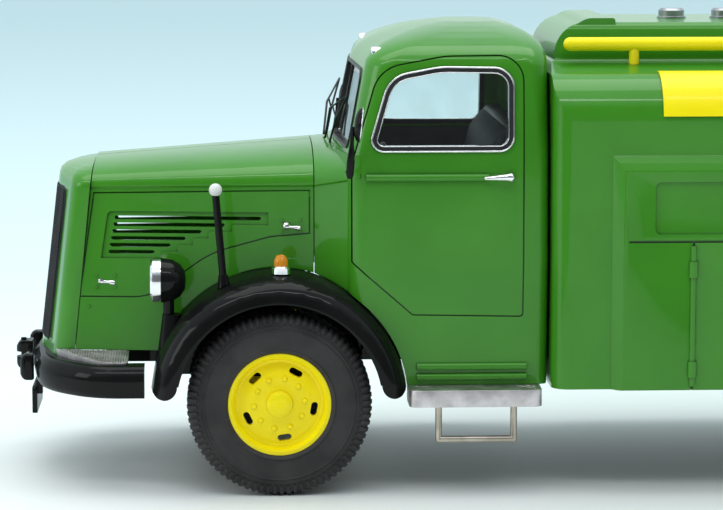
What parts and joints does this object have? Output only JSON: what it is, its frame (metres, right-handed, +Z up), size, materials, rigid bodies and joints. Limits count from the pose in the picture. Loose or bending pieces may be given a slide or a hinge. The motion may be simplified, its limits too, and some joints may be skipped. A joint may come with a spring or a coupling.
{
  "type": "toy tanker truck",
  "caption": "Die-cast scale model of a bonneted 1950s road tanker with free-rolling wheels, glazed cab, locker-sided tank and blank name boards.",
  "frame": {"origin": "on the ground under the middle of the model's length and width", "axes": "+X from the front bumper to the tail, -Y towards the driver's (left) side, +Z up"},
  "size_m": [0.1869, 0.058, 0.0649],
  "materials": {
    "green_enamel": "glossy stoved enamel on a zinc casting",
    "black_enamel": "glossy black enamel",
    "yellow_enamel": "glossy yellow enamel",
    "silver_cast": "satin silver paint on a casting, chequered on top",
    "plated_trim": "bright plating",
    "turned_steel": "turned and drawn steel",
    "bare_aluminium": "satin turned and drawn metal",
    "clear_glazing": "clear moulded pane",
    "amber_lens": "amber moulded lens",
    "red_lens": "red moulded lens",
    "white_plastic": "white moulding",
    "black_plastic": "black moulding",
    "grey_plastic": "dark grey moulding",
    "black_rubber": "soft moulded tyre"
  },
  "bodies": {
    "lorry": {"base_plate": "black_enamel", "bench_seat": "grey_plastic", "body_screws": "turned_steel", "bonnet_latches": "plated_trim", "bonnet_shell": "green_enamel", "bumper_treads": "silver_cast", "cab_floor_pan": "grey_plastic", "cab_shell": "green_enamel", "cab_steps": "silver_cast", "chassis_frame": "black_enamel", "dashboard": "grey_plastic", "door_handles": "plated_trim", "filler_caps": "bare_aluminium", "front_bumper": "black_enamel", "front_fender_left": "black_enamel", "front_fender_right": "black_enamel", "front_plate": "black_enamel", "front_springs": "black_enamel", "grille": "black_plastic", "guide_balls": "white_plastic", "guide_rods": "black_enamel", "handrail_posts": "yellow_enamel", "handrails": "yellow_enamel", "headlamp_lenses": "clear_glazing", "headlamp_rims": "plated_trim", "headlamp_shells": "plated_trim", "indicator_bases": "plated_trim", "indicator_lenses": "amber_lens", "locker_hinges": "green_enamel", "mirror_arms": "black_enamel", "mirror_heads": "black_enamel", "name_panels": "yellow_enamel", "overriders": "black_enamel", "radiator_shell": "green_enamel", "rear_arch_liners": "black_enamel", "rear_bumper": "black_enamel", "rear_glass": "clear_glazing", "rear_plate": "black_enamel", "rear_springs": "black_enamel", "roof_lamps": "plated_trim", "side_glass": "clear_glazing", "side_lockers": "green_enamel", "side_window_frames": "plated_trim", "steering_wheel": "grey_plastic", "step_stirrups": "silver_cast", "tail_lamp_bases": "plated_trim", "tail_lamp_lenses": "red_lens", "tank_shell": "green_enamel", "tow_jaw": "black_enamel", "windscreen_frames": "plated_trim", "windscreen_glass": "clear_glazing", "wipers": "black_plastic"},
    "front_axle": {"front_axle_pin": "turned_steel", "front_wheels": "yellow_enamel", "front_tyres": "black_rubber"},
    "rear_axle": {"rear_axle_pin": "turned_steel", "rear_wheels": "yellow_enamel", "rear_outer_tyres": "black_rubber", "rear_inner_tyres": "black_rubber"}
  },
  "joints": [
    {"name": "front_axle_spin", "type": "hinge", "parent": "lorry", "child": "front_axle", "pos_m": [-0.0563, 0, 0.0126], "axis": [0, 1, 0], "continuous": true},
    {"name": "rear_axle_spin", "type": "hinge", "parent": "lorry", "child": "rear_axle", "pos_m": [0.0517, 0, 0.0126], "axis": [0, 1, 0], "continuous": true}
  ]
}
